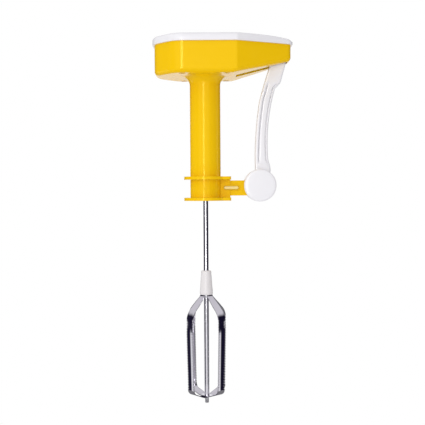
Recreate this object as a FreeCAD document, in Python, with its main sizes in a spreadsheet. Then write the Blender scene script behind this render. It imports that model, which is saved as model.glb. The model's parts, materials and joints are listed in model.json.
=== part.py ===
"""Squeeze-lever egg beater, as a parametric FreeCAD document.

Millimetres. The origin is the tip of the beater on the shaft axis, +Z up the shaft and
+X towards the squeeze lever. The lever turns on a pin beside the handle's collar. Its top
pushes a rack along the head, the rack turns a compound wheel and the wheel spins the shaft.
"""
import FreeCAD, Part
import math
import os
import re
import Sketcher

V = FreeCAD.Vector
X, Y, Z = V(1, 0, 0), V(0, 1, 0), V(0, 0, 1)

# name: (value, what it is). Every row becomes a cell of the sheet.
SIZES = {
    # beater
    "rod_radius": (2.45, "shaft radius"),
    "rod_foot": (7.9, "height of the shoulder that the straps bear on"),
    "rod_top": (358.0, "top of the shaft, inside the lid"),
    "spigot_radius": (1.2, "turned-down end of the shaft"),
    "ferrule_radius": (1.9, "radius of the tip ferrule"),
    "ferrule_height": (6.1, "height of the tip ferrule, and of the lower strap"),
    "strap_width": (9.0, "width of a blade strap"),
    "strap_thick": (0.9, "thickness of a blade strap"),
    "strap_neck": (7.0, "width of a strap where it meets the hub"),
    "strap_tab": (3.6, "width of the tab that enters the hub"),
    "bowl_radius": (20.75, "outer radius of the cage just above the bowl"),
    "bowl_height": (12.1, "corner between the bowl and the blades"),
    "bowl_foot": (6.9, "half length of the flat foot of a strap"),
    "shoulder_radius": (22.85, "outer radius of the cage at its shoulder corner"),
    "shoulder_height": (90.0, "height of the shoulder corner"),
    "shoulder_bend": (15.0, "bend radius of the shoulder"),
    "tooth_low": (16.5, "height of the lowest tooth"),
    "tooth_high": (85.5, "height of the highest tooth"),
    "blade_angle": (42.5, "turn of the first strap about the shaft"),
    "tooth_pitch": (2.65, "pitch of the serrated edges"),
    "tooth_depth": (0.85, "depth of the serrated edges"),
    "hub_low": (109.0, "bottom of the beater hub"),
    "hub_high": (133.0, "top of the beater hub"),
    "hub_wide": (6.5, "radius of the hub at the bottom"),
    "hub_narrow": (4.9, "radius of the hub at the top"),
    "hub_pin_drop": (7.0, "hub pin below the top of the hub"),
    "hub_pin_radius": (1.0, "radius of the hub pin"),
    "gear_pin_radius": (0.75, "radius of the shaft pinion's pin"),
    "gear_pin_lift": (2.65, "shaft pinion's pin above its teeth"),
    # handle and collar
    "tube_radius": (15.2, "outside of the handle tube"),
    "tube_wall": (2.6, "wall of the handle tube"),
    "collar_low": (203.0, "underside of the collar"),
    "collar_high": (227.0, "top of the collar"),
    "flange_radius": (21.5, "radius of the collar's flanges"),
    "flange_front": (25.3, "square front end of the flanges"),
    "flange_thick": (3.0, "thickness of a flange"),
    "spigot_high": (246.0, "top of the collar's spigot inside the tube"),
    "web_half": (3.1, "half thickness of the web between the flanges"),
    "slot_rise": (0.6, "rim of the arm's long slot above the web"),
    "slot_low": (19.8, "middle of the slot's end beside the tube"),
    "slot_high": (31.2, "middle of the slot's end on the arm"),
    "slot_level": (215.8, "height of the arm's long slot"),
    "slot_round": (2.7, "end radius of the slot's rim"),
    "slot_edge": (0.9, "width of the slot's rim"),
    "bush_radius": (5.0, "outside of the bearing bushes"),
    "bush_length": (16.6, "length of the lower bush"),
    "bush_pin_radius": (1.3, "radius of the pin that locks the lower bush"),
    "bush_pin_level": (215.6, "height of the pin that locks the lower bush"),
    "running_gap": (0.05, "radial clearance of a shaft in its bearing"),
    # pivot and lever
    "pivot_x": (54.0, "lever pivot, in front of the shaft"),
    "pivot_z": (218.0, "height of the lever pivot"),
    "pin_radius": (2.5, "radius of the pivot pin"),
    "eye_radius": (7.2, "radius of the collar's eye"),
    "eye_half": (2.5, "half thickness of the arm and eye"),
    "cheek_radius": (15.4, "radius of the lever's cheeks"),
    "cheek_in": (6.8, "inside face of a cheek"),
    "cheek_out": (9.2, "outside face of a cheek"),
    "cap_radius": (16.0, "radius of the pivot caps"),
    "cap_out": (12.8, "outermost point of a pivot cap"),
    "spring_wire": (0.45, "wire radius of the return spring"),
    "spring_coil": (4.1, "radius of the spring's coils"),
    "spring_pitch": (1.0, "pitch of the spring's coils"),
    "spring_turns": (2.25, "turns of the spring"),
    "spring_lower_leg": (12.0, "length of the leg on the arm"),
    "spring_upper_leg": (8.0, "length of the leg on the lever"),
    "peg_radius": (1.3, "radius of the spring pegs"),
    "lever_half": (6.0, "half width of the lever"),
    "lever_tilt": (9.01, "outward lean of the line from pivot to lever tip"),
    "lever_reach": (130.2, "distance from pivot to lever tip"),
    "tongue_radius": (3.0, "radius of the lever tip"),
    # head
    "head_low": (326.0, "underside of the head"),
    "head_rim": (356.0, "joint between the housing and the lid"),
    "lid_top": (365.4, "top of the lid"),
    "head_half": (37.0, "half width of the head"),
    "head_back": (-49.5, "back end of the housing"),
    "back_half": (14.0, "half width of the back end"),
    "back_corner": (-29.0, "where the back taper starts"),
    "front_corner": (31.0, "where the front taper starts"),
    "head_front": (84.7, "front end of the housing"),
    "front_half": (10.5, "half width of the front end"),
    "ramp_start": (27.0, "where the underside starts to rise"),
    "ramp_rise": (14.3, "rise of the underside at the front end"),
    "head_wall": (2.6, "wall of the housing"),
    "back_round": (19.0, "corner radius of the housing's back taper"),
    "crease_round": (4.8, "corner radius where the front taper starts"),
    "front_round": (6.6, "corner radius of the front end"),
    "floor_round": (4.5, "rounding of the housing's lower edge"),
    "tube_blend": (8.5, "fillet between the tube and the head"),
    "lid_lip": (2.0, "overhang of the lid"),
    "slot_back": (31.0, "back end of the lever slot"),
    "slot_front": (81.6, "front end of the lever slot"),
    "slot_half": (7.0, "half width of the lever slot"),
    # drive train
    "fine_module": (0.7, "module of the wheel and shaft pinion"),
    "rack_module": (1.0, "module of the rack and its pinion"),
    "wheel_teeth": (40, "teeth of the wheel"),
    "pinion_teeth": (12, "teeth of both pinions"),
    "pressure_angle": (25.0, "pressure angle of all teeth"),
    "backlash": (0.16, "play between meshing teeth, on the pitch line"),
    "wheel_low": (334.0, "underside of the wheel"),
    "wheel_high": (340.0, "top of the wheel"),
    "axle_radius": (2.0, "radius of the wheel axle"),
    "rack_low": (343.6, "underside of the rack"),
    "rack_high": (349.6, "top of the rack"),
    "rack_back": (6.5, "back face of the rack bar"),
    "rack_end": (-8.0, "free end of the rack at rest"),
    "rack_travel": (35.1, "travel of the rack"),
    "plate_low": (351.5, "underside of the gear plate"),
    "plate_thick": (2.5, "thickness of the gear plate"),
    "post_x": (26.0, "gear plate posts, fore and aft"),
    "post_near": (-16.0, "gear plate posts, one side"),
    "post_far": (20.0, "gear plate posts, wheel side"),
    "post_radius": (3.6, "radius of a gear plate post"),
    "plate_margin": (5.0, "gear plate beyond the middle of its posts"),
    "plate_shank": (1.1, "core radius of a plate screw and its hole"),
    "boss_x": (21.5, "lid screw bosses, fore and aft"),
    "boss_y": (29.0, "lid screw bosses, to each side"),
    "boss_split": (344.0, "where housing and lid bosses meet"),
    "boss_radius": (4.0, "radius of a housing boss"),
    "lid_shank": (1.4, "core radius of a lid screw and its hole in the lid"),
    "screw_room": (0.3, "play round a lid screw in the housing"),
    "screw_head": (2.7, "radius of a screw head"),
    "cross_long": (1.6, "half length of a screw's cross recess"),
    "cross_wide": (0.3, "half width of a screw's cross recess"),
}

# formulas that several sub-parts share
AXLE_Y = "fine_module * (wheel_teeth + pinion_teeth) / 2"
PLATE_TOP = "(plate_low + plate_thick)"
CLIP_LEVEL = "(plate_low + plate_thick + 1.3)"

doc = FreeCAD.newDocument("egg_beater")
sheet = doc.addObject("Spreadsheet::Sheet", "Sizes")
nodes = []


def fill_sheet():
    """Write every size to its own row: name, value, meaning."""
    for row, (name, (number, meaning)) in enumerate(SIZES.items(), start=1):
        sheet.set(f"A{row}", name)
        sheet.set(f"B{row}", str(number))
        sheet.set(f"C{row}", meaning)
        sheet.setAlias(f"B{row}", name)
    doc.recompute()


def formula(text):
    """Point every size name in a formula at its cell."""
    return re.sub(r"[a-z_]+", lambda m: "Sizes." + m[0] if m[0] in SIZES else m[0], str(text))


def size(text):
    """The number that a formula gives now."""
    return float(sheet.evalExpression(formula(text)))


def bind(thing, **formulas):
    """Drive properties of an object from the sheet. A double underscore stands for a dot."""
    for name, text in formulas.items():
        thing.setExpression(name.replace("__", "."), formula(text))


def node(thing, label):
    """Make an object one of the exported sub-parts."""
    thing.Label = label
    nodes.append(thing)
    return thing


# ---------------------------------------------------------------- sketches and bodies

def sketch_outline(sketch, corners):
    """Draw a closed outline and tie each corner to its two formulas."""
    places = [V(size(x), size(y), 0) for x, y in corners]
    count = len(places)
    for k in range(count):
        sketch.addGeometry(Part.LineSegment(places[k], places[(k + 1) % count]), False)
    for k in range(count):
        sketch.addConstraint(Sketcher.Constraint("Coincident", k, 2, (k + 1) % count, 1))
    for k, (corner, place) in enumerate(zip(corners, places)):
        for axis, text, number in zip("XY", corner, place):
            rule = sketch.addConstraint(Sketcher.Constraint(f"Distance{axis}", -1, 1, k, 1, number))
            sketch.setExpression(f"Constraints[{rule}]", formula(text))


def body_sketch(body, plane, corners, offset="0"):
    """A sketch on one of the body's own origin planes, moved along the plane's normal."""
    sketch = body.newObject("Sketcher::SketchObject", f"{body.Name}_sketch")
    support = [feature for feature in body.Origin.OriginFeatures if feature.Role == plane]
    sketch.AttachmentSupport = [(support[0], "")]
    sketch.MapMode = "FlatFace"
    bind(sketch, AttachmentOffset__Base__z=offset)
    sketch_outline(sketch, corners)
    return sketch


def turned(name, corners, x="0", y="0"):
    """A body turned about an upright axis from a radius and height outline."""
    body = doc.addObject("PartDesign::Body", name)
    sketch = body_sketch(body, "XZ_Plane", corners)
    turn = body.newObject("PartDesign::Revolution", f"{name}_turn")
    turn.Profile = sketch
    turn.ReferenceAxis = (sketch, ["V_Axis"])
    turn.Angle = 360
    bind(body, Placement__Base__x=x, Placement__Base__y=y)
    return body


def padded(name, corners, low, height):
    """A body padded upwards from a level outline."""
    body = doc.addObject("PartDesign::Body", name)
    sketch = body_sketch(body, "XY_Plane", corners, low)
    pad = body.newObject("PartDesign::Pad", f"{name}_pad")
    pad.Profile = sketch
    bind(pad, Length=height)
    return body


def rounded(body, radius, pick):
    """Round the edges of a body that a test picks."""
    doc.recompute()
    base = body.Tip
    names = [f"Edge{k}" for k, edge in enumerate(base.Shape.Edges, start=1) if pick(edge)]
    fillet = body.newObject("PartDesign::Fillet", f"{body.Name}_round")
    fillet.Base = (base, names)
    bind(fillet, Radius=radius)
    return body


def upright(edge):
    """True for a straight edge along Z."""
    return abs(abs(edge.tangentAt(edge.FirstParameter).z) - 1) < 1e-6


def level_at(height):
    """A test for edges that lie wholly at one height."""
    return lambda edge: edge.BoundBox.ZLength < 1e-6 and abs(edge.BoundBox.ZMax - height) < 1e-6


# ---------------------------------------------------------------- primitives and booleans

def block(name, low, high):
    """A box between two corners, each a triple of formulas."""
    box = doc.addObject("Part::Box", name)
    bind(box, Length=f"({high[0]}) - ({low[0]})", Width=f"({high[1]}) - ({low[1]})",
         Height=f"({high[2]}) - ({low[2]})", Placement__Base__x=low[0],
         Placement__Base__y=low[1], Placement__Base__z=low[2])
    return box


def round_bar(name, radius, low, high, x="0", y="0"):
    """An upright cylinder between two heights."""
    bar = doc.addObject("Part::Cylinder", name)
    bind(bar, Radius=radius, Height=f"({high}) - ({low})", Placement__Base__x=x,
         Placement__Base__y=y, Placement__Base__z=low)
    return bar


def cross_bar(name, radius, start, end, x="pivot_x", z="pivot_z"):
    """A cylinder along Y between two distances."""
    bar = doc.addObject("Part::Cylinder", name)
    bar.Placement = FreeCAD.Placement(V(), FreeCAD.Rotation(X, -90))
    bind(bar, Radius=radius, Height=f"({end}) - ({start})", Placement__Base__x=x,
         Placement__Base__y=start, Placement__Base__z=z)
    return bar


def joined(name, things):
    """The union of several objects."""
    union = doc.addObject("Part::MultiFuse", name)
    union.Shapes = things
    union.Refine = True
    return union


def without(name, base, tools):
    """One object less others."""
    cut = doc.addObject("Part::Cut", name)
    cut.Base = base
    cut.Tool = tools[0] if len(tools) == 1 else joined(f"{name}_tools", tools)
    cut.Refine = True
    return cut


def shared(name, first, second):
    """What two objects have in common."""
    common = doc.addObject("Part::Common", name)
    common.Base = first
    common.Tool = second
    common.Refine = True
    return common


def edge_round(name, base, radius, pick):
    """Round picked edges of an object outside a body."""
    doc.recompute()
    fillet = doc.addObject("Part::Fillet", name)
    fillet.Base = base
    amount = size(radius)
    fillet.Edges = [(k, amount, amount) for k, edge in enumerate(base.Shape.Edges, start=1) if pick(edge)]
    return fillet


def shaped(name, shape):
    """An object that holds a shape worked out in code."""
    feature = doc.addObject("Part::Feature", name)
    feature.Shape = shape
    return feature


def outline_face(points):
    """A flat face inside straight edges."""
    return Part.Face(Part.makePolygon([*points, points[0]]))


def bent_path(corners, radii):
    """A wire through corner points, with one bend radius for each inner corner."""
    edges = []
    start = corners[0]
    for before, corner, after, radius in zip(corners, corners[1:], corners[2:], radii):
        arrive, leave = (before - corner).normalize(), (after - corner).normalize()
        half = arrive.getAngle(leave) / 2
        back = radius / math.tan(half)
        middle = corner + (arrive + leave).normalize() * (radius / math.sin(half) - radius)
        edges.append(Part.LineSegment(start, corner + arrive * back).toShape())
        edges.append(Part.Arc(corner + arrive * back, middle, corner + leave * back).toShape())
        start = corner + leave * back
    edges.append(Part.LineSegment(start, corners[-1]).toShape())
    return Part.Wire(edges)


# ---------------------------------------------------------------- head

def head_outline(grow):
    """The head's eight corners, moved outwards by a formula. The tapers are at about 45 and 26 degrees."""
    g = f"({grow})"
    side = f"head_half + {g}"
    back, front = f"head_back - {g}", f"head_front + {g}"
    rear_x, rear_y = f"back_corner - {g} * 0.38", f"back_half + {g} * 0.45"
    fore_x, fore_y = f"front_corner + {g} * 0.23", f"front_half + {g} * 0.62"
    near = [(back, f"-({rear_y})"), (rear_x, f"-({side})"), (fore_x, f"-({side})"), (front, f"-({fore_y})")]
    far = [(x, y[1:]) for x, y in reversed(near)]
    return near + far


def head_block(name, grow, low, height):
    """The head's outline padded upwards, with its three kinds of corner rounded."""
    body = padded(name, head_outline(grow), low, height)
    g = f"({grow})"
    for radius, start, stop in (("back_round", "head_back * 2", "0"), ("crease_round", "0", "slot_front - 20"),
                                ("front_round", "slot_front - 20", "head_front * 2")):
        low_x, high_x = size(start), size(stop)
        rounded(body, f"{radius} + {g}", lambda e: upright(e) and low_x < e.BoundBox.XMin < high_x)
    return body


def ramp_block(name, lift):
    """Everything above the underside, which rises towards the front."""
    body = doc.addObject("PartDesign::Body", name)
    low = f"head_low + {lift}"
    corners = [("head_back - 20", low), ("ramp_start", low),
               ("head_front + 20", f"{low} + ramp_rise * (head_front + 20 - ramp_start)"
                                   " / (head_front - ramp_start)"),
               ("head_front + 20", "lid_top + 10"), ("head_back - 20", "lid_top + 10")]
    sketch = body_sketch(body, "XZ_Plane", corners)
    pad = body.newObject("PartDesign::Pad", f"{name}_pad")
    pad.Profile = sketch
    pad.Midplane = True
    bind(pad, Length="head_half * 3")
    return body


def head_shell():
    """The tray that carries the drive, open at the top, with the handle tube under it."""
    outer = head_block("tray_outer", "0", "head_low", "head_rim - head_low")
    solid = shared("tray_solid", outer, ramp_block("tray_ramp", "0"))
    low = size("head_rim") - 0.5
    soft = edge_round("tray_soft", solid, "floor_round", lambda e: e.BoundBox.ZMax < low)
    tube = round_bar("tube_outer", "tube_radius", "collar_high", "head_low + 1")
    whole = joined("tray_and_tube", [soft, tube])
    root = size("tube_radius")
    blended = edge_round("tray_blend", whole, "tube_blend",
                         lambda e: abs(e.BoundBox.XLength - 2 * root) < 0.01
                         and abs(e.BoundBox.ZMax - size("head_low")) < 0.01 and e.BoundBox.ZLength < 0.01)
    inner = head_block("tray_inner", "-head_wall", "head_low", "head_rim - head_low + 5")
    cavity = shared("tray_cavity", inner, ramp_block("cavity_ramp", "head_wall"))
    bore = round_bar("tube_bore", "tube_radius - tube_wall", "collar_high - 1", "head_low - 0.6")
    return without("tray_shell", blended, [cavity, bore])


def at_posts(make):
    """The four gear plate posts."""
    spots = [(f"{sx} * post_x", y) for sx in (-1, 1) for y in ("post_near", "post_far")]
    return [make(k, x, y) for k, (x, y) in enumerate(spots)]


def at_bosses(make):
    """The four lid screw bosses."""
    spots = [(f"{sx} * boss_x", f"{sy} * boss_y") for sx in (-1, 1) for sy in (-1, 1)]
    return [make(k, x, y) for k, (x, y) in enumerate(spots)]


def housing():
    """Tray, tube, posts, bosses and rack rests in one moulding, with its holes."""
    floor = "head_low + head_wall - 0.5"
    adds = [head_shell()]
    adds += at_posts(lambda k, x, y: round_bar(f"post{k}", "post_radius", floor, "plate_low", x, y))
    adds += at_bosses(lambda k, x, y: round_bar(f"boss{k}", "boss_radius", floor, "boss_split", x, y))
    adds.append(round_bar("axle_boss", "4.5", floor, "wheel_low - 0.9", y=AXLE_Y))
    adds.append(round_bar("shaft_boss", "5.5", floor, "wheel_low - 1.3"))
    for label, x in (("rear", "-34"), ("front", "18")):
        adds.append(block(f"{label}_rest", (x, "rack_back", floor),
                          (f"{x} + 7", "rack_back + 5", "rack_low - 0.2")))
    cuts = [block("lever_slot", ("slot_back", "-slot_half", "head_low - 1"),
                  ("slot_front", "slot_half", "head_rim - 12")),
            round_bar("shaft_hole", "rod_radius + 0.6", "head_low - 1", "wheel_low"),
            round_bar("axle_hole", "axle_radius", "head_low + 0.8", "wheel_low", y=AXLE_Y)]
    cuts += at_posts(lambda k, x, y: round_bar(f"post_hole{k}", "plate_shank", "plate_low - 9", "plate_low + 1",
                                               x, y))
    cuts += at_bosses(lambda k, x, y: round_bar(f"boss_hole{k}", "lid_shank + screw_room", "head_low - 1",
                                                "boss_split + 1", x, y))
    cuts += at_bosses(lambda k, x, y: round_bar(f"boss_sink{k}", "screw_head + 0.4", "head_low - 1",
                                                "head_low + 3.5", x, y))
    node(without("housing_part", joined("housing_adds", adds), cuts), "housing")


def lid():
    """White cover with a rounded top edge, hollow below, with four screw bosses."""
    crown = head_block("lid_outer", "lid_lip", "head_rim", "lid_top - head_rim")
    crown = rounded(crown, "4.6", level_at(size("lid_top")))
    hollow = head_block("lid_hollow", "-1", "head_rim - 1", "lid_top - head_rim - 1.6")
    shell = without("lid_shell", crown, [hollow])
    bosses = at_bosses(lambda k, x, y: round_bar(f"lid_boss{k}", "boss_radius - 0.4", "boss_split", "lid_top - 2",
                                                 x, y))
    holes = at_bosses(lambda k, x, y: round_bar(f"lid_hole{k}", "lid_shank", "boss_split - 1", "lid_top - 4",
                                                x, y))
    node(without("lid_part", joined("lid_adds", [shell, *bosses]), holes), "lid")


def screw(name, x, y, seat, top, tip, shank):
    """A pan-head screw between its seat and its tip, with a cross recess in the head."""
    upside_down = size(tip) > size(seat)
    ends = (seat, tip) if upside_down else (tip, seat)
    low, high = (top, seat) if upside_down else (seat, top)
    blank = joined(f"{name}_blank", [round_bar(f"{name}_head", "screw_head", low, high, x, y),
                                     round_bar(f"{name}_shank", shank, *ends, x, y)])
    level = f"({top}) - 0.3" if upside_down else f"({top}) - 0.7"
    cross = [block(f"{name}_cut{turn}", (f"{x} - {a}", f"{y} - {b}", level),
                   (f"{x} + {a}", f"{y} + {b}", f"{level} + 1"))
             for turn, a, b in ((0, "cross_long", "cross_wide"), (1, "cross_wide", "cross_long"))]
    return without(name, blank, cross)


def screw_group(label, screws):
    """Identical screws as one sub-part of separate solids."""
    group = doc.addObject("Part::Compound", label)
    group.Links = screws
    node(group, label)


def lid_screws():
    """Four screws that enter the lid from below."""
    screw_group("lid_screws", at_bosses(lambda k, x, y: screw(
        f"lid_screw{k}", x, y, "head_low + 3.5", "head_low + 1.3", "boss_split + 12", "lid_shank")))


def plate_screws():
    """Four screws that hold the gear plate on its posts."""
    seat = "plate_low + plate_thick"
    screw_group("plate_screws", at_posts(lambda k, x, y: screw(
        f"plate_screw{k}", x, y, seat, f"{seat} + 2", "plate_low - 8", "plate_shank")))


def gear_plate():
    """Plate over the drive, with a rib that backs the rack."""
    left, right = "-post_x - plate_margin", "post_x + plate_margin"
    near, far = "post_near - plate_margin", "post_far + plate_margin"
    flat = padded("plate_flat", [(left, near), (right, near), (right, far), (left, far)],
                  "plate_low", "plate_thick")
    sheet_metal = rounded(flat, "plate_margin", upright)
    rib = block("plate_rib", (left, "rack_back - 2.2", "rack_low + 0.4"),
                ("post_x + 2", "rack_back - 0.2", "plate_low + 0.5"))
    holes = [round_bar("plate_bush_hole", "bush_radius - 1", "rack_low", "plate_low + 5"),
             round_bar("plate_axle_hole", "axle_radius", "plate_low - 1", "plate_low + 5", y=AXLE_Y)]
    holes += at_posts(lambda k, x, y: round_bar(f"plate_hole{k}", "plate_shank", "plate_low - 1", "plate_low + 5",
                                                x, y))
    node(without("plate_part", joined("plate_adds", [sheet_metal, rib]), holes), "gear_plate")


# ---------------------------------------------------------------- collar

def pivot_collar():
    """End collar of the handle: two flanges, the band between them, a spigot and the pivot arm."""
    parts = [round_bar("collar_band", "tube_radius", "collar_low", "collar_high"),
             round_bar("collar_spigot", "tube_radius - tube_wall", "collar_high - 1", "spigot_high")]
    for k, low in enumerate(("collar_low", "collar_high - flange_thick")):
        parts.append(round_bar(f"flange{k}", "flange_radius", low, f"{low} + flange_thick"))
        nose = padded(f"flange_nose{k}", [("0", "-flange_radius + 6"), ("flange_front", "-flange_radius + 9"),
                                          ("flange_front", "flange_radius - 9"), ("0", "flange_radius - 6")],
                      low, "flange_thick")
        parts.append(rounded(nose, "2.5", lambda e: upright(e) and e.BoundBox.XMin > 5))
    parts.append(block("collar_web", ("tube_radius - 1", "-web_half", "collar_low + 1"),
                       ("flange_front - 0.6", "web_half", "collar_high - 1")))
    parts.append(block("collar_arm", ("tube_radius - 1", "-eye_half", "pivot_z - 10"),
                       ("pivot_x", "eye_half", "pivot_z + 5")))
    parts.append(long_slot("slot_rim", "slot_round", "-web_half - slot_rise", "web_half + slot_rise"))
    parts.append(cross_bar("collar_eye", "eye_radius", "-cheek_in + 0.15", "eye_half"))
    parts.append(cross_bar("collar_peg", "peg_radius", "eye_half - 0.5", "eye_half + 2.2", "pivot_x - 9.5",
                           "pivot_z - spring_coil - spring_wire - peg_radius - 0.02"))
    cuts = [round_bar("collar_bore", "bush_radius", "collar_low - 1", "collar_low + bush_length + 1"),
            round_bar("collar_bore_top", "tube_radius - tube_wall - 2.4", "collar_low + bush_length + 4",
                      "spigot_high + 1"),
            round_bar("collar_shaft_hole", "rod_radius + 0.5", "collar_low - 1", "collar_high"),
            cross_bar("eye_hole", "pin_radius + running_gap", "-cheek_out", "cheek_out"),
            cross_bar("bush_pin_hole", "bush_pin_radius", "-tube_radius - 1", "-bush_radius + 1", "0",
                      "bush_pin_level")]
    for side, start, end in (("near", "-web_half - 3", "-eye_half + 0.7"),
                             ("far", "eye_half - 0.7", "web_half + 3")):
        cuts.append(long_slot(f"{side}_slot", "slot_round - slot_edge", start, end))
    node(without("collar_part", joined("collar_adds", parts), cuts), "pivot_collar")


def long_slot(name, radius, start, end):
    """A round-ended bar across the arm, between two distances along Y."""
    return joined(name, [block(f"{name}_mid", ("slot_low", start, f"slot_level - ({radius})"),
                               ("slot_high", end, f"slot_level + ({radius})")),
                         cross_bar(f"{name}_back", radius, start, end, "slot_low", "slot_level"),
                         cross_bar(f"{name}_front", radius, start, end, "slot_high", "slot_level")])


def bushes():
    """Plain bearing bushes at both ends of the handle and a pin that locks the lower one."""
    bore = "rod_radius + running_gap"
    low, high = "collar_low + 0.4", "collar_low + 0.4 + bush_length"
    node(turned("lower_bush", [(bore, low), ("bush_radius", low), ("bush_radius", high), (bore, high)]),
         "lower_bush")
    flange = PLATE_TOP
    ring = [(bore, "plate_low - 0.6"), ("bush_radius - 1", "plate_low - 0.6"), ("bush_radius - 1", flange),
            ("bush_radius + 1", flange), ("bush_radius + 1", f"{flange} + 1"), (bore, f"{flange} + 1")]
    node(turned("upper_bush", ring), "upper_bush")
    pin = cross_bar("bush_pin_blank", "bush_pin_radius", "-tube_radius", "-bush_radius", "0", "bush_pin_level")
    seat = round_bar("bush_pin_seat", "bush_radius", "collar_low", "collar_high")
    skin = round_bar("bush_pin_skin", "tube_radius", "collar_low", "collar_high")
    node(without("bush_pin_part", shared("bush_pin_trim", pin, skin), [seat]), "bush_pin")


# ---------------------------------------------------------------- lever

def lever_point(along, across):
    """A point in the lever's own directions: along the line from pivot to tip, and across it."""
    tilt = math.radians(size("lever_tilt"))
    u, v = V(math.sin(tilt), 0, math.cos(tilt)), V(math.cos(tilt), 0, -math.sin(tilt))
    return V(size("pivot_x"), 0, size("pivot_z")) + u * along + v * across


def lever_limb():
    """Side outline of the limb: two bowed edges, a shoulder and a wide top, with a slim tongue."""
    low_in, low_out = lever_point(11, -6.3), lever_point(11, 8.7)
    mid_in = lever_point(44, -11.2)
    waist_in, waist_out = lever_point(83, -13.2), lever_point(85, -0.9)
    neck_in, neck_out = lever_point(99, -11.3), lever_point(97, 0.2)
    shoulder = lever_point(104, 5.0)
    top_in, top_out = lever_point(124, -7.4), lever_point(124, 6.9)
    reach, tip = size("lever_reach"), size("tongue_radius")
    slim = tip - 0.7
    spring_in, spring_out = lever_point(reach - 1.8, -slim), lever_point(reach - 1.8, slim)
    edges = [Part.Arc(low_in, mid_in, waist_in), Part.Arc(waist_in, neck_in, top_in),
             Part.LineSegment(top_in, lever_point(124, -slim)),
             Part.LineSegment(lever_point(124, -slim), spring_in),
             Part.LineSegment(spring_in, spring_out), Part.LineSegment(spring_out, lever_point(124, slim)),
             Part.LineSegment(lever_point(124, slim), top_out), Part.LineSegment(top_out, shoulder),
             Part.LineSegment(shoulder, neck_out), Part.Arc(neck_out, waist_out, low_out)]
    edges.append(Part.LineSegment(low_out, low_in))
    return Part.Wire([edge.toShape() for edge in edges])


def lever():
    """White lever: ribbed limb, tongue and two round cheeks around the pivot."""
    half, tongue = size("lever_half"), size("lever_half - 2")
    wire = lever_limb()
    limb = Part.Face(wire).extrude(Y * 2 * half)
    limb.translate(Y * -half)
    tip_end = lever_point(size("lever_reach"), 0) - Y * tongue
    tip = Part.makeCylinder(size("tongue_radius"), 2 * tongue, tip_end, Y)
    above = lever_point(124, -20)
    trim_size = V(60, 2 * half + 2, 30)
    turn = FreeCAD.Rotation(Y, size("lever_tilt"))
    for side in (-1, 1):
        slab = Part.makeBox(trim_size.x, trim_size.y, trim_size.z)
        slab.Placement = FreeCAD.Placement(above + Y * (tongue if side > 0 else -tongue - trim_size.y), turn)
        limb = limb.cut(slab)
    panel = Part.Face(wire.makeOffset2D(-2.2)).extrude(Y * 2)
    for side in (-1, 1):
        recess = panel.copy()
        recess.translate(Y * (side * (half - 0.1) - 1))
        limb = limb.cut(recess)
    node(joined_lever(limb.fuse(tip).removeSplitter()), "lever")


def joined_lever(limb):
    """Limb and cheeks together, bored for the pin."""
    gap = block("cheek_gap", ("pivot_x - cap_radius - 2", "-cheek_in", "pivot_z - cap_radius - 2"),
                ("pivot_x + cap_radius + 2", "cheek_in", "pivot_z + 9.4"))
    drum = cross_bar("cheek_drum", "cheek_radius", "-cheek_out", "cheek_out")
    shell = without("lever_shell", joined("lever_union", [shaped("lever_limb", limb), drum]), [gap])
    peg = cross_bar("cheek_peg", "peg_radius", "cheek_in - 2", "cheek_in + 0.5",
                    "pivot_x + spring_coil + spring_wire + peg_radius + 0.02", "pivot_z + 6.5")
    adds = joined("lever_adds", [shell, peg])
    return without("lever_part", adds, [cross_bar("cheek_hole", "pin_radius", "-cap_out", "cap_out")])


def pivot_caps():
    """Domed covers over both cheeks, with a stub in the cheek's bore."""
    for label, turn in (("near_cap", 90), ("far_cap", -90)):
        body = turned(label, [("0", "cheek_out"), ("cap_radius - 0.8", "cheek_out"),
                              ("cap_radius", "cheek_out + 0.8"), ("cap_radius", "cheek_out + 1.8"),
                              ("cap_radius - 1.6", "cap_out - 0.7"), ("cap_radius / 2", "cap_out - 0.15"),
                               ("0", "cap_out")])
        body.Placement = FreeCAD.Placement(V(), FreeCAD.Rotation(X, turn))
        bind(body, Placement__Base__x="pivot_x", Placement__Base__z="pivot_z")
        node(body, label)


def pivot_pin():
    """Steel pin through both cheeks and the eye."""
    pin = doc.addObject("PartDesign::Body", "pivot_pin")
    outline = [("0", "-cheek_out"), ("pin_radius - 0.4", "-cheek_out"), ("pin_radius", "-cheek_out + 0.4"),
               ("pin_radius", "cheek_out - 0.4"), ("pin_radius - 0.4", "cheek_out"), ("0", "cheek_out")]
    sketch = body_sketch(pin, "XZ_Plane", outline)
    turn = pin.newObject("PartDesign::Revolution", "pivot_pin_turn")
    turn.Profile = sketch
    turn.ReferenceAxis = (sketch, ["V_Axis"])
    turn.Angle = 360
    pin.Placement = FreeCAD.Placement(V(), FreeCAD.Rotation(X, -90))
    bind(pin, Placement__Base__x="pivot_x", Placement__Base__z="pivot_z")
    node(pin, "pivot_pin")


def return_spring():
    """Torsion spring round the pin, one leg on the arm's peg and one leg on the lever's peg."""
    wire_radius, coil, pitch, turns = (size(f"spring_{word}") for word in ("wire", "coil", "pitch", "turns"))
    helix = Part.makeHelix(pitch, pitch * turns, coil, 0, True)
    helix.rotate(V(), X, -90)
    helix.rotate(V(), Y, 90)
    helix.translate(V(size("pivot_x"), size("eye_half + 1.1"), size("pivot_z")))
    edges = helix.Edges
    first, last = edges[0], edges[-1]
    start, finish = first.valueAt(first.FirstParameter), last.valueAt(last.LastParameter)
    leave = first.tangentAt(first.FirstParameter)
    lower_leg = Part.LineSegment(start - leave * size("spring_lower_leg"), start).toShape()
    depart = last.tangentAt(last.LastParameter)
    upper_leg = Part.LineSegment(finish, finish + depart * size("spring_upper_leg")).toShape()
    path = Part.Wire([lower_leg, *edges, upper_leg])
    section = Part.Wire(Part.makeCircle(wire_radius, path.OrderedVertexes[0].Point, leave))
    node(shaped("return_spring", path.makePipeShell([section], True, False)), "return_spring")


# ---------------------------------------------------------------- drive train

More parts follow.
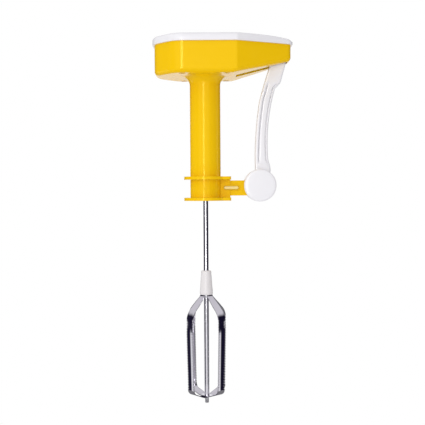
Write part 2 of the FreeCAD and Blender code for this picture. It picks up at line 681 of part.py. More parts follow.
def involute_flank(base, start, end, count=7):
    """Points of an involute from one radius to another, measured from its own base point."""
    points = []
    for k in range(count):
        radius = start + (end - start) * k / (count - 1)
        roll = math.sqrt(max((radius / base) ** 2 - 1, 0))
        points.append((radius, roll - math.atan(roll)))
    return points


def gear_solid(module, teeth, height, turn):
    """Spur gear about Z with involute teeth, thinned for backlash and turned by an angle."""
    angle = math.radians(size("pressure_angle"))
    pitch_radius = module * teeth / 2
    base = pitch_radius * math.cos(angle)
    root, tip = pitch_radius - 1.2 * module, pitch_radius + 0.95 * module
    half = math.pi / (2 * teeth) - size("backlash") / (4 * pitch_radius) + math.tan(angle) - angle
    flank = involute_flank(base, max(base, root), tip)

    def spot(radius, direction):
        return V(radius * math.cos(direction), radius * math.sin(direction), 0)

    edges = []
    for tooth in range(teeth):
        middle = 2 * math.pi * tooth / teeth + math.radians(turn)
        rise = [spot(r, middle - half + a) for r, a in flank]
        fall = [spot(r, middle + half - a) for r, a in reversed(flank)]
        foot = half - flank[0][1]
        feet = [spot(root, middle - foot), spot(root, middle + foot)]
        following = spot(root, middle + 2 * math.pi / teeth - foot)
        valley = spot(root, middle + math.pi / teeth)
        for curve in (rise, fall):
            spline = Part.BSplineCurve()
            spline.interpolate(curve)
            edges.append(spline.toShape())
        edges.append(Part.Arc(rise[-1], spot(tip, middle), fall[0]).toShape())
        if base > root:
            edges.append(Part.LineSegment(feet[0], rise[0]).toShape())
            edges.append(Part.LineSegment(fall[-1], feet[1]).toShape())
        edges.append(Part.Arc(feet[1], valley, following).toShape())
    outline = Part.Wire(Part.__sortEdges__(edges))
    return Part.Face(outline).extrude(Z * height)


def drive_wheel():
    """Compound wheel: large fine wheel below, coarse rack pinion above, on one bore."""
    fine, coarse = size("fine_module"), size("rack_module")
    low, high = size("wheel_low"), size("wheel_high")
    wheel = gear_solid(fine, int(size("wheel_teeth")), high - low, 0)
    for k in range(5):
        spoke = math.radians(72 * k + 36)
        wheel = wheel.cut(Part.makeCylinder(2.3, high - low, V(9 * math.cos(spoke), 9 * math.sin(spoke), 0)))
    pinion_low, pinion_high = size("rack_low - 1.1"), size("rack_high + 0.8")
    pinion = gear_solid(coarse, int(size("pinion_teeth")), pinion_high - pinion_low, 0)
    pinion.translate(Z * (pinion_low - low))
    neck = Part.makeCylinder(4.5, pinion_low - high, V(0, 0, high - low))
    bore = Part.makeCylinder(size("axle_radius + running_gap"), 40, V(0, 0, -10))
    feature = shaped("drive_wheel", wheel.fuse([pinion, neck]).cut(bore).removeSplitter())
    bind(feature, Placement__Base__y=AXLE_Y, Placement__Base__z="wheel_low")
    node(feature, "drive_wheel")


def wheel_axle():
    """Fixed steel axle of the wheel, and the washer under the wheel."""
    top = PLATE_TOP
    node(turned("wheel_axle", [("0", "head_low + 0.8"), ("axle_radius", "head_low + 0.8"),
                               ("axle_radius", f"{top} - 0.4"), ("axle_radius - 0.4", top), ("0", top)],
                y=AXLE_Y), "wheel_axle")
    low, high = "wheel_low - 0.9", "wheel_low - 0.15"
    inner, outer = "axle_radius + 0.1", "axle_radius + 2.2"
    ring = [(inner, low), (outer, low), (outer, high), (inner, high)]
    node(turned("wheel_washer", ring, y=AXLE_Y), "wheel_washer")


def rack():
    """Toothed bar beside the shaft, with an eye at the front for the lever's tongue."""
    module, low, high = size("rack_module"), size("rack_low"), size("rack_high")
    pitch = math.pi * module
    line = size("fine_module * (wheel_teeth + pinion_teeth) / 2 - rack_module * pinion_teeth / 2")
    lean = math.tan(math.radians(size("pressure_angle")))
    half = pitch / 4 - size("backlash") / 4
    root, tip = line - 1.2 * module, line + 0.95 * module
    back, start, stop = size("rack_back"), size("rack_end"), 74.0
    points = [V(start, back, low), V(start, root, low)]
    first = math.ceil((start + half) / pitch - 0.5)
    last = int((size("rack_travel") + 8) / pitch)
    for tooth in range(first, last + 1):
        middle = (tooth + 0.5) * pitch
        foot, crest = half + lean * (line - root), half - lean * (tip - line)
        if middle - foot < start:
            continue
        points += [V(middle - foot, root, low), V(middle - crest, tip, low),
                   V(middle + crest, tip, low), V(middle + foot, root, low)]
    points += [V(stop, root, low), V(stop, back, low)]
    bar = outline_face(points).extrude(Z * (high - low))
    eye = lever_point(size("lever_reach"), 0).x
    ring, width = 6.8, 6.5
    head = Part.makeBox(2 * ring, back + width + 0.01, high - low, V(eye - ring, -width, low))
    window = Part.makeBox(2 * size("tongue_radius") + 0.5, 2 * size("lever_half - 2") + 0.8, 20,
                          V(eye - size("tongue_radius") - 0.25, -size("lever_half - 2") - 0.4, low - 5))
    node(shaped("rack", bar.fuse(head).cut(window).removeSplitter()), "rack")


def shaft_pinion():
    """Pinion on the shaft with a pinned hub above the teeth."""
    low, high, top = size("wheel_low - 0.3"), size("wheel_high + 0.3"), size("wheel_high + 5")
    teeth = int(size("pinion_teeth"))
    gear = gear_solid(size("fine_module"), teeth, high - low, 180 / teeth)
    gear.translate(Z * low)
    hub = Part.makeCylinder(4, top - high, V(0, 0, high))
    bore = Part.makeCylinder(size("rod_radius"), 30, V(0, 0, low - 5))
    middle, pin_radius = size("wheel_high + gear_pin_lift"), size("gear_pin_radius")
    cross = Part.makeCylinder(pin_radius, 10, V(-5, 0, middle), X)
    node(shaped("shaft_pinion", gear.fuse(hub).cut(bore).cut(cross).removeSplitter()), "shaft_pinion")
    pin = Part.makeCylinder(pin_radius, 7.8, V(-3.9, 0, middle), X)
    node(shaped("pinion_pin", pin), "pinion_pin")


# ---------------------------------------------------------------- beater

def beater_shaft():
    """Steel rod, turned down at the foot, cross-drilled for two pins and grooved for the clip."""
    clip = CLIP_LEVEL
    rod = turned("shaft_rod", [("0", "2"), ("spigot_radius", "2"), ("spigot_radius", "rod_foot"),
                               ("rod_radius", "rod_foot"), ("rod_radius", clip), ("rod_radius - 0.7", clip),
                               ("rod_radius - 0.7", f"{clip} + 0.7"), ("rod_radius", f"{clip} + 0.7"),
                               ("rod_radius", "rod_top - 0.5"), ("rod_radius - 0.5", "rod_top"),
                               ("0", "rod_top")])
    holes = []
    for name, radius, z in (("pinion_pin_hole", "gear_pin_radius", "wheel_high + gear_pin_lift"),
                            ("hub_pin_hole", "hub_pin_radius", "hub_high - hub_pin_drop")):
        hole = doc.addObject("Part::Cylinder", name)
        hole.Placement = FreeCAD.Placement(V(-8, 0, 0), FreeCAD.Rotation(Y, 90))
        hole.Height = 16
        bind(hole, Radius=radius, Placement__Base__z=z)
        holes.append(hole)
    node(without("beater_shaft", rod, holes), "beater_shaft")


def shaft_rings():
    """Clip in the groove above the upper bush, and the washer under the pinion."""
    clip = CLIP_LEVEL
    ring = turned("clip_ring", [("rod_radius - 0.65", f"{clip} + 0.05"), ("rod_radius + 1.7", f"{clip} + 0.05"),
                                ("rod_radius + 1.7", f"{clip} + 0.65"), ("rod_radius - 0.65", f"{clip} + 0.65")])
    mouth = block("clip_mouth", ("0", "-1.2", f"{clip} - 1"), ("8", "1.2", f"{clip} + 2"))
    node(without("shaft_clip", ring, [mouth]), "shaft_clip")
    low, high = "wheel_low - 1.3", "wheel_low - 0.45"
    inner, outer = "rod_radius + 0.1", "rod_radius + 2.2"
    node(turned("thrust_washer", [(inner, low), (outer, low), (outer, high), (inner, high)]), "thrust_washer")


def strap_ribbon(lift):
    """One strap as a bent ribbon in the XZ plane: flat foot, bowl, leaning blades, shoulders and tabs."""
    thick, width = size("strap_thick"), size("strap_width")
    foot = size("ferrule_height") + thick / 2 + lift
    tab = size("strap_tab + strap_thick / 2")
    corners = [V(0, 0, foot), V(size("bowl_foot"), 0, foot),
               V(size("bowl_radius") - thick / 2, 0, size("bowl_height")),
               V(size("shoulder_radius") - thick / 2, 0, size("shoulder_height")),
               V(tab + 1.1, 0, size("hub_low - 1.6")), V(tab, 0, size("hub_low + 4.5"))]
    path = bent_path(corners, (5.0, 5.2, size("shoulder_bend"), 2.0))
    section = Part.makePolygon([V(0, y * width / 2, foot + z * thick / 2)
                                for y, z in ((-1, -1), (1, -1), (1, 1), (-1, 1), (-1, -1))])
    side = path.makePipeShell([section], True, False)
    other = side.copy()
    other.rotate(V(), Z, 180)
    return side.fuse(other).removeSplitter()


def strap_front():
    """Front outline of a strap, with serrated edges along the blades and narrow tabs."""
    width, neck, tab = size("strap_width / 2"), size("strap_neck / 2"), size("strap_tab / 2")
    pitch, depth = size("tooth_pitch"), size("tooth_depth")
    low, high = size("tooth_low"), size("tooth_high")
    edge = [V(0, width, 0), V(0, width, low)]
    for k in range(int((high - low) / pitch)):
        edge += [V(0, width - depth, low + (k + 0.5) * pitch), V(0, width, low + (k + 1) * pitch)]
    hub = size("hub_low")
    edge += [V(0, width, hub - 12), V(0, neck, hub - 2.5), V(0, neck, hub), V(0, tab, hub), V(0, tab, hub + 10)]
    mirror = [V(0, -point.y, point.z) for point in reversed(edge)]
    face = outline_face(edge + mirror)
    front = face.extrude(X * 60)
    front.translate(X * -30)
    return front


def blade_straps():
    """Two U-shaped serrated straps that cross on the tip, one over the other."""
    front = strap_front()
    hole = Part.makeCylinder(size("spigot_radius"), 20)
    for label, lift, turn in (("lower_blade_strap", 0, 0), ("upper_blade_strap", size("strap_thick"), 90)):
        strap = strap_ribbon(lift).common(front).cut(hole)
        feature = shaped(label, strap)
        feature.Placement = FreeCAD.Placement(V(), FreeCAD.Rotation(Z, size("blade_angle") + turn))
        node(feature, label)


def beater_hub():
    """White cone pinned to the shaft, with four slots for the strap tabs."""
    cone = turned("hub_cone", [("rod_radius", "hub_low"), ("hub_wide - 0.3", "hub_low"),
                               ("hub_wide", "hub_low + 0.3"), ("hub_wide - 0.15", "hub_low + 5"),
                               ("hub_narrow", "hub_high - 1.2"), ("hub_narrow - 1.2", "hub_high"),
                               ("rod_radius", "hub_high")])
    straps = [item for item in nodes if item.Label.endswith("blade_strap")]
    hole = doc.addObject("Part::Cylinder", "hub_cross_hole")
    hole.Placement = FreeCAD.Placement(V(-8, 0, 0), FreeCAD.Rotation(Y, 90))
    hole.Height = 16
    bind(hole, Radius="hub_pin_radius", Placement__Base__z="hub_high - hub_pin_drop")
    node(without("hub_part", cone, [*straps, hole]), "beater_hub")
    pin = doc.addObject("Part::Cylinder", "hub_pin_bar")
    pin.Placement = FreeCAD.Placement(V(), FreeCAD.Rotation(Y, 90))
    bind(pin, Radius="hub_pin_radius", Height="hub_narrow * 2", Placement__Base__x="-hub_narrow",
         Placement__Base__z="hub_high - hub_pin_drop")
    node(pin, "hub_pin")


def tip_ferrule():
    """Ferrule pressed on the foot of the shaft, which clamps the straps."""
    node(turned("tip_ferrule", [("0", "0"), ("ferrule_radius", "0"), ("ferrule_radius", "ferrule_height"),
                                ("spigot_radius", "ferrule_height"), ("spigot_radius", "2"), ("0", "2")]),
         "tip_ferrule")


# ---------------------------------------------------------------- document

def check_document():
    """Stop if any object failed or any sub-part has no sound shape."""
    for thing in doc.Objects:
        if {"Invalid", "Error"} & set(thing.State):
            raise SystemExit(f"{thing.Label} failed: {thing.State}")
    for thing in nodes:
        if thing.Shape.isNull() or not thing.Shape.isValid() or not thing.Shape.Solids:
            raise SystemExit(f"{thing.Label} has no sound solid")
    if len({thing.Label for thing in nodes}) != len(nodes):
        raise SystemExit("two sub-parts share a label")


def main():
    """Build every sub-part, check the document and write one STEP file each."""
    fill_sheet()
    for build in (housing, lid, lid_screws, plate_screws, gear_plate, pivot_collar, bushes, lever, pivot_caps,
                  pivot_pin, return_spring, drive_wheel, wheel_axle, rack, shaft_pinion, beater_shaft,
                  shaft_rings, blade_straps, beater_hub, tip_ferrule):
        build()
    doc.recompute()
    check_document()
    os.makedirs("parts", exist_ok=True)
    for thing in nodes:
        thing.Shape.exportStep(f"parts/{thing.Label}.step")
        solids, volume = len(thing.Shape.Solids), thing.Shape.Volume
        print(f"{thing.Label}: {solids} solid(s), {volume:.1f} mm3")


main()
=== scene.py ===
"""Squeeze-lever egg beater: finishes, detailed pieces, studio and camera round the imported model. Metres."""

import json
import math
import bmesh
import bpy
import numpy as np
from mathutils import Matrix, Vector


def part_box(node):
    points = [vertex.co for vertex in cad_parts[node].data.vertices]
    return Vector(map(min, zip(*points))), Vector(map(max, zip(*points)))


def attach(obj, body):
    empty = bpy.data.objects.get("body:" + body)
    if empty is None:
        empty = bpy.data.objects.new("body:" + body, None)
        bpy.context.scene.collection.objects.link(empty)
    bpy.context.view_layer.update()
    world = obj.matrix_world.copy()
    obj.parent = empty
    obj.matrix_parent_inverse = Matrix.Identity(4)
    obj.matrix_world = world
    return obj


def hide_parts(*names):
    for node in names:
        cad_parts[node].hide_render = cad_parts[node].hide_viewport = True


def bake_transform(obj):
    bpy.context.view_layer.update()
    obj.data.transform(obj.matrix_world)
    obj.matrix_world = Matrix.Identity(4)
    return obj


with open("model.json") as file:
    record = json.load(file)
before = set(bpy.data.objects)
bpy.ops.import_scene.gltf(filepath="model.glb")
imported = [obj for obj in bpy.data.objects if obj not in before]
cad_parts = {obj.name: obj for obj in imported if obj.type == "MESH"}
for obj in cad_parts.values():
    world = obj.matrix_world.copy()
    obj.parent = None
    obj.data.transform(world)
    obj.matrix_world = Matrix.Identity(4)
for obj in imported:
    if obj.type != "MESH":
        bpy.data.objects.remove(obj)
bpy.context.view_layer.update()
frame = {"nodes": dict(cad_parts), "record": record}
nodes = frame["nodes"]

MM = 0.001
JOINTS = {joint["name"]: joint for joint in frame["record"]["behaviour"]["joints"]}
PIVOT = Vector(JOINTS["lever_squeeze"]["pos_m"])


# ---------------------------------------------------------------- shader tools

def wire(tree, kind, inputs=None, **settings):
    """Add a node, set its properties, and fill or link its inputs."""
    made = tree.nodes.new(kind)
    for key, value in settings.items():
        setattr(made, key, value)
    for key, value in (inputs or {}).items():
        if isinstance(value, bpy.types.NodeSocket):
            tree.links.new(value, made.inputs[key])
        else:
            made.inputs[key].default_value = value
    return made


def math_node(tree, operation, first, second=0.0):
    """One math step on two values."""
    return wire(tree, "ShaderNodeMath", {0: first, 1: second}, operation=operation).outputs[0]


def product(tree, *values):
    """Two or more values multiplied together."""
    total = values[0]
    for value in values[1:]:
        total = math_node(tree, "MULTIPLY", total, value)
    return total


def share_of(tree, value, start, stop, least=0.0, most=1.0):
    """How far a value lies between two limits, given out between least and most."""
    return wire(tree, "ShaderNodeMapRange", {"Value": value, "From Min": start, "From Max": stop,
                                             "To Min": least, "To Max": most}).outputs[0]


def effect_group(name, inputs, outputs):
    """An empty shader group with named float or colour sockets."""
    group = bpy.data.node_groups.new(name, "ShaderNodeTree")
    for label, value in inputs.items():
        kind = "NodeSocketColor" if isinstance(value, tuple) else "NodeSocketFloat"
        socket = group.interface.new_socket(label, in_out="INPUT", socket_type=kind)
        socket.default_value = value
    for label, kind in outputs.items():
        group.interface.new_socket(label, in_out="OUTPUT", socket_type=kind)
    start = group.nodes.new("NodeGroupInput").outputs
    end = group.nodes.new("NodeGroupOutput").inputs
    return group, start, end


def noise(tree, place, scale, detail=3.0, rough=0.55):
    """Noise texture at a place; its value comes back."""
    made = wire(tree, "ShaderNodeTexNoise", {"Vector": place, "Scale": scale,
                                             "Detail": detail, "Roughness": rough})
    return made.outputs[0]


def own_place(tree):
    """The surface's own coordinates, which stay with the piece."""
    return tree.nodes.new("ShaderNodeTexCoord").outputs["Object"]


def moulding_grain():
    """Height of moulded plastic: slow sink marks, orange peel and a fine tool grain."""
    group, given, out = effect_group("moulding_grain", {"Sink": 0.5, "Peel": 0.3, "Grain": 0.1},
                                     {"Height": "NodeSocketFloat"})
    place = own_place(group)
    layers = [product(group, noise(group, place, scale), given[label])
              for label, scale in (("Sink", 38.0), ("Peel", 420.0), ("Grain", 2600.0))]
    total = math_node(group, "ADD", math_node(group, "ADD", layers[0], layers[1]), layers[2])
    group.links.new(total, out["Height"])
    return group


def edge_wear():
    """Mask that is 1 on rubbed edges, where a rounded normal leaves the true one, broken up by noise."""
    group, given, out = effect_group("edge_wear", {"Amount": 0.5, "Break": 300.0},
                                     {"Mask": "NodeSocketFloat"})
    rounded = wire(group, "ShaderNodeBevel", {"Radius": 0.5 * MM}, samples=4).outputs[0]
    true = group.nodes.new("ShaderNodeNewGeometry").outputs["Normal"]
    along = wire(group, "ShaderNodeVectorMath", {0: rounded, 1: true}, operation="DOT_PRODUCT")
    edge = share_of(group, along.outputs["Value"], 0.98, 0.82)
    patch = share_of(group, noise(group, own_place(group), given["Break"]), 0.42, 0.62)
    group.links.new(product(group, edge, patch, given["Amount"]), out["Mask"])
    return group


def settled_dust():
    """Mask of fine dust that gathers where a surface faces up."""
    group, given, out = effect_group("settled_dust", {"Amount": 0.2, "Speck": 900.0},
                                     {"Mask": "NodeSocketFloat"})
    normal = group.nodes.new("ShaderNodeNewGeometry").outputs["Normal"]
    upward = wire(group, "ShaderNodeSeparateXYZ", {0: normal}).outputs["Z"]
    level = share_of(group, upward, 0.2, 1.0)
    grains = noise(group, own_place(group), given["Speck"], detail=4.0, rough=0.7)
    speck = share_of(group, grains, 0.48, 0.7)
    group.links.new(product(group, level, speck, given["Amount"]), out["Mask"])
    return group


def tone_drift():
    """A colour that drifts a little lighter and darker over the surface."""
    inputs = {"Colour": (0.5, 0.5, 0.5, 1.0), "Drift": 0.05, "Scale": 20.0}
    group, given, out = effect_group("tone_drift", inputs, {"Colour": "NodeSocketColor"})
    wave = noise(group, own_place(group), given["Scale"])
    shift = product(group, math_node(group, "SUBTRACT", wave, 0.5), given["Drift"])
    value = math_node(group, "ADD", shift, 1.0)
    tuned = wire(group, "ShaderNodeHueSaturation", {"Color": given["Colour"], "Value": value})
    group.links.new(tuned.outputs[0], out["Colour"])
    return group


def drawn_lines():
    """Height and mask of fine lines along one direction, as left by drawing, rolling or turning."""
    inputs = {"Along X": 900.0, "Along Y": 900.0, "Along Z": 12.0}
    group, given, out = effect_group("drawn_lines", inputs,
                                     {"Height": "NodeSocketFloat", "Mask": "NodeSocketFloat"})
    stretch = wire(group, "ShaderNodeCombineXYZ", {0: given[0], 1: given[1], 2: given[2]}).outputs[0]
    place = wire(group, "ShaderNodeVectorMath", {0: own_place(group), 1: stretch}, operation="MULTIPLY")
    lines = noise(group, place.outputs[0], 1.0, detail=4.0, rough=0.6)
    group.links.new(lines, out["Height"])
    group.links.new(share_of(group, lines, 0.35, 0.7), out["Mask"])
    return group


GRAIN, WEAR, DUST = moulding_grain(), edge_wear(), settled_dust()
DRIFT, LINES = tone_drift(), drawn_lines()


def placed(tree, group, **values):
    """A group in a material, with its own values."""
    made = tree.nodes.new("ShaderNodeGroup")
    made.node_tree = group
    for key, value in values.items():
        made.inputs[key.replace("_", " ")].default_value = value
    return made.outputs


def blended(tree, factor, first, second):
    """A colour mix; either colour may be a socket or a value."""
    mix = tree.nodes.new("ShaderNodeMix")
    mix.data_type = "RGBA"
    tree.links.new(factor, mix.inputs["Factor"])
    for socket, value in ((mix.inputs[6], first), (mix.inputs[7], second)):
        if isinstance(value, bpy.types.NodeSocket):
            tree.links.new(value, socket)
        else:
            socket.default_value = value
    return mix.outputs[2]


def blank(name):
    """A new material, its tree and its shader."""
    material = bpy.data.materials.new(name)
    material.use_nodes = True
    tree = material.node_tree
    return material, tree, tree.nodes["Principled BSDF"]


# ---------------------------------------------------------------- finishes

DUST_GREY = (0.72, 0.69, 0.64, 1)


def relief(tree, shader, height, strength, depth, edge_radius):
    """Bump from a height, on normals that are softened at the edges."""
    soft = wire(tree, "ShaderNodeBevel", {"Radius": edge_radius}, samples=4).outputs[0]
    bump = wire(tree, "ShaderNodeBump", {"Strength": strength, "Distance": depth,
                                         "Height": height, "Normal": soft})
    tree.links.new(bump.outputs[0], shader.inputs["Normal"])


def moulded(name, colour, worn, gloss, peel=0.25, dust=0.12, wear=0.35, glint=(1.0, 1.0, 1.0)):
    """Moulded plastic: drifting tone, rubbed edges, a little dust, orange peel and scuffed gloss."""
    material, tree, shader = blank(name)
    base = placed(tree, DRIFT, Colour=(*colour, 1), Drift=0.03, Scale=24.0)["Colour"]
    rubbed = placed(tree, WEAR, Amount=wear, Break=420.0)["Mask"]
    dusty = placed(tree, DUST, Amount=dust, Speck=1400.0)["Mask"]
    shade = blended(tree, rubbed, base, (*worn, 1))
    tree.links.new(blended(tree, dusty, shade, DUST_GREY), shader.inputs["Base Color"])
    cloud = noise(tree, own_place(tree), 90.0, detail=5.0, rough=0.65)
    scuff = share_of(tree, cloud, 0.3, 0.75, gloss - 0.05, gloss + 0.09)
    rough = math_node(tree, "ADD", scuff, product(tree, dusty, 0.5))
    tree.links.new(rough, shader.inputs["Roughness"])
    height = placed(tree, GRAIN, Sink=0.6, Peel=peel, Grain=0.05)["Height"]
    relief(tree, shader, height, strength=0.2, depth=0.08 * MM, edge_radius=0.35 * MM)
    shader.inputs["IOR"].default_value = 1.5
    shader.inputs["Specular Tint"].default_value = (*glint, 1)
    return material


def metal(name, colour, gloss, lines, tarnish, depth=0.003 * MM, spread=0.1, wear=0.3, stained=0.4):
    """Bare metal with directional lines, patches of tarnish and brighter rubbed edges."""
    material, tree, shader = blank(name)
    marks = placed(tree, LINES, **dict(zip(("Along_X", "Along_Y", "Along_Z"), lines)))
    base = placed(tree, DRIFT, Colour=(*colour, 1), Drift=0.16, Scale=60.0)["Colour"]
    patches = noise(tree, own_place(tree), 150.0, detail=6.0, rough=0.7)
    stain = share_of(tree, patches, 0.55, 0.8, 0.0, stained)
    tarnished = blended(tree, stain, base, (*tarnish, 1))
    rubbed = placed(tree, WEAR, Amount=wear, Break=500.0)["Mask"]
    bright = tuple(min(1.0, channel * 1.25) for channel in colour)
    tree.links.new(blended(tree, rubbed, tarnished, (*bright, 1)), shader.inputs["Base Color"])
    rough = share_of(tree, marks["Mask"], 0.0, 1.0, gloss, gloss + spread)
    tree.links.new(rough, shader.inputs["Roughness"])
    relief(tree, shader, marks["Height"], strength=0.5, depth=depth, edge_radius=0.12 * MM)
    shader.inputs["Metallic"].default_value = 1.0
    return material


YELLOW = moulded("yellow_gloss_plastic", (0.93, 0.57, 0.004), (0.98, 0.72, 0.16), 0.15,
                 glint=(1.0, 0.82, 0.22))
# Pale yellow whose light tone is a painted highlight for the bright slot in the collar's arm.
PAINTED_HIGHLIGHT_YELLOW = moulded("painted_highlight_yellow_plastic", (0.97, 0.80, 0.30), (0.98, 0.88, 0.5), 0.2,
               glint=(1.0, 0.95, 0.8))
WHITE = moulded("white_gloss_plastic", (0.87, 0.86, 0.885), (0.9, 0.9, 0.91), 0.2, dust=0.05)
IVORY = moulded("hub_satin_plastic", (0.80, 0.77, 0.77), (0.88, 0.86, 0.85), 0.34, peel=0.4)
NYLON = moulded("natural_nylon", (0.78, 0.76, 0.68), (0.86, 0.85, 0.8), 0.42, peel=0.35, dust=0.05)
DRAWN = metal("bright_drawn_steel", (0.86, 0.85, 0.88), 0.12, (1500.0, 1500.0, 4.0), (0.52, 0.50, 0.50),
              depth=0.0002 * MM, spread=0.03, stained=0.15)
STRIP = metal("rolled_strip_steel", (0.74, 0.72, 0.77), 0.05, (1700.0, 1700.0, 30.0), (0.42, 0.40, 0.41),
              depth=0.0006 * MM, spread=0.05, stained=0.3)
ZINC = metal("zinc_plated_steel", (0.62, 0.64, 0.68), 0.3, (500.0, 500.0, 500.0), (0.50, 0.49, 0.44))
SPRING = metal("drawn_spring_wire", (0.42, 0.42, 0.45), 0.22, (1500.0, 1500.0, 1500.0), (0.20, 0.19, 0.19))
BRASS = metal("turned_bush_brass", (0.72, 0.52, 0.24), 0.22, (300.0, 300.0, 4200.0), (0.42, 0.28, 0.12))
CAD_FINISHES = {
    YELLOW: ("housing", "pivot_collar", "bush_pin"),
    DRAWN: ("beater_shaft", "pivot_pin", "wheel_axle", "hub_pin", "pinion_pin"),
    ZINC: ("lid_screws", "plate_screws", "gear_plate", "wheel_washer", "thrust_washer", "shaft_clip"),
    BRASS: ("lower_bush", "upper_bush"),
    NYLON: ("rack", "drive_wheel", "shaft_pinion"),
}


def dress_frame():
    """Give each CAD node that stays in view its finish."""
    for finish, names in CAD_FINISHES.items():
        for name in names:
            nodes[name].data.materials.clear()
            nodes[name].data.materials.append(finish)


# ---------------------------------------------------------------- mesh tools

def skin(rings, closed=False):
    """Faces between successive rings of points, with flat ends, or joined last to first."""
    count = len(rings[0])
    points = [Vector(point) for ring in rings for point in ring]
    faces = []
    for k in range(len(rings) if closed else len(rings) - 1):
        here, there = k * count, (k + 1) % len(rings) * count
        for i in range(count):
            j = (i + 1) % count
            faces.append((here + i, here + j, there + j, there + i))
    if not closed:
        faces.append(tuple(reversed(range(count))))
        faces.append(tuple(range((len(rings) - 1) * count, len(rings) * count)))
    return points, faces


def lathe(profile, centre=(0, 0, 0), axis=(0, 0, 1), count=72, closed=False):
    """Rings turned about an axis from radius and distance pairs."""
    turn = Vector(axis).to_track_quat("Z", "Y").to_matrix()
    rings = [[Vector(centre) + turn @ Vector((radius * math.cos(2 * math.pi * k / count),
                                              radius * math.sin(2 * math.pi * k / count), along))
              for k in range(count)] for radius, along in profile]
    return skin(rings, closed)


def turned(profile, centre=(0, 0, 0), axis=(0, 0, 1), count=72, closed=False):
    """Rings turned about an axis from a profile in millimetres."""
    return lathe([(radius * MM, along * MM) for radius, along in profile], centre, axis, count, closed)


def soft_corner(centre, radius, start, stop, steps=5):
    """Points of an arc in a profile, from one angle to another in degrees."""
    angles = [math.radians(start + (stop - start) * k / steps) for k in range(steps + 1)]
    return [(centre[0] + radius * math.cos(a), centre[1] + radius * math.sin(a)) for a in angles]


def mesh_of(name, shells, crease=38):
    """One mesh from closed shells, shaded smooth but for edges sharper than the crease."""
    mesh = bpy.data.meshes.new(name)
    points, faces = [], []
    for shell_points, shell_faces in shells:
        faces += [tuple(k + len(points) for k in face) for face in shell_faces]
        points += shell_points
    mesh.from_pydata([tuple(point) for point in points], [], faces)
    finish_mesh(mesh, crease)
    return mesh


def finish_mesh(mesh, crease):
    """Point the normals outwards and mark sharp edges."""
    work = bmesh.new()
    work.from_mesh(mesh)
    bmesh.ops.remove_doubles(work, verts=work.verts, dist=1e-7)
    bmesh.ops.recalc_face_normals(work, faces=work.faces)
    for face in work.faces:
        face.smooth = True
    for edge in work.edges:
        edge.smooth = edge.calc_face_angle(0) < math.radians(crease)
    work.to_mesh(mesh)
    work.free()


def linked(name, mesh):
    """An object in the scene that shows a mesh."""
    thing = bpy.data.objects.new(name, mesh)
    bpy.context.scene.collection.objects.link(thing)
    return thing


def settle(thing, finish, body, slot, *stands_for):
    """Give a piece its finish and its body, and hide the CAD nodes that it stands for. The slot is not used.
    """
    thing.data.materials.clear()
    thing.data.materials.append(finish)
    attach(thing, body)
    if stands_for:
        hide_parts(*stands_for)
    return thing


def cut_or_join(thing, shells, operation):
    """Join a solid made of shells to a thing, or cut it away."""
    tool = linked("tool", mesh_of("tool", shells))
    step = thing.modifiers.new("step", "BOOLEAN")
    step.operation, step.solver, step.object = operation, "EXACT", tool
    result = bpy.data.meshes.new_from_object(thing.evaluated_get(bpy.context.evaluated_depsgraph_get()))
    thing.modifiers.clear()
    thing.data = result
    bpy.data.objects.remove(tool)


def box_shell(low, high):
    """A closed box between two corners."""
    corners = ((low[0], low[1]), (high[0], low[1]), (high[0], high[1]), (low[0], high[1]))
    return skin([[(x, y, z) for x, y in corners] for z in (low[2], high[2])])


# ---------------------------------------------------------------- lid

def rounded_outline(corners, radii, steps=9):
    """Points and outward normals along a convex outline with rounded corners, turning left."""
    points, normals = [], []
    count = len(corners)
    for k in range(count):
        before, corner, after = (Vector(corners[i % count]) for i in (k - 1, k, k + 1))
        arrive, leave = (corner - before).normalized(), (after - corner).normalized()
        turn = arrive.angle(leave)
        back = radii[k] * math.tan(turn / 2)
        centre = corner - arrive * back + Vector((-arrive.y, arrive.x)) * radii[k]
        first = math.atan2(-arrive.x, arrive.y)
        for i in range(steps + 1):
            angle = first + turn * i / steps
            normal = Vector((math.cos(angle), math.sin(angle)))
            points.append(centre + normal * radii[k])
            normals.append(normal)
    return filled_in(points, normals)


def filled_in(points, normals, longest=5 * MM):
    """The same outline with extra points along its long straight runs."""
    full, directions = [], []
    for k, point in enumerate(points):
        after = points[(k + 1) % len(points)]
        parts = max(1, round((after - point).length / longest))
        for i in range(parts):
            full.append(point.lerp(after, i / parts))
            directions.append(normals[k])
    return full, directions


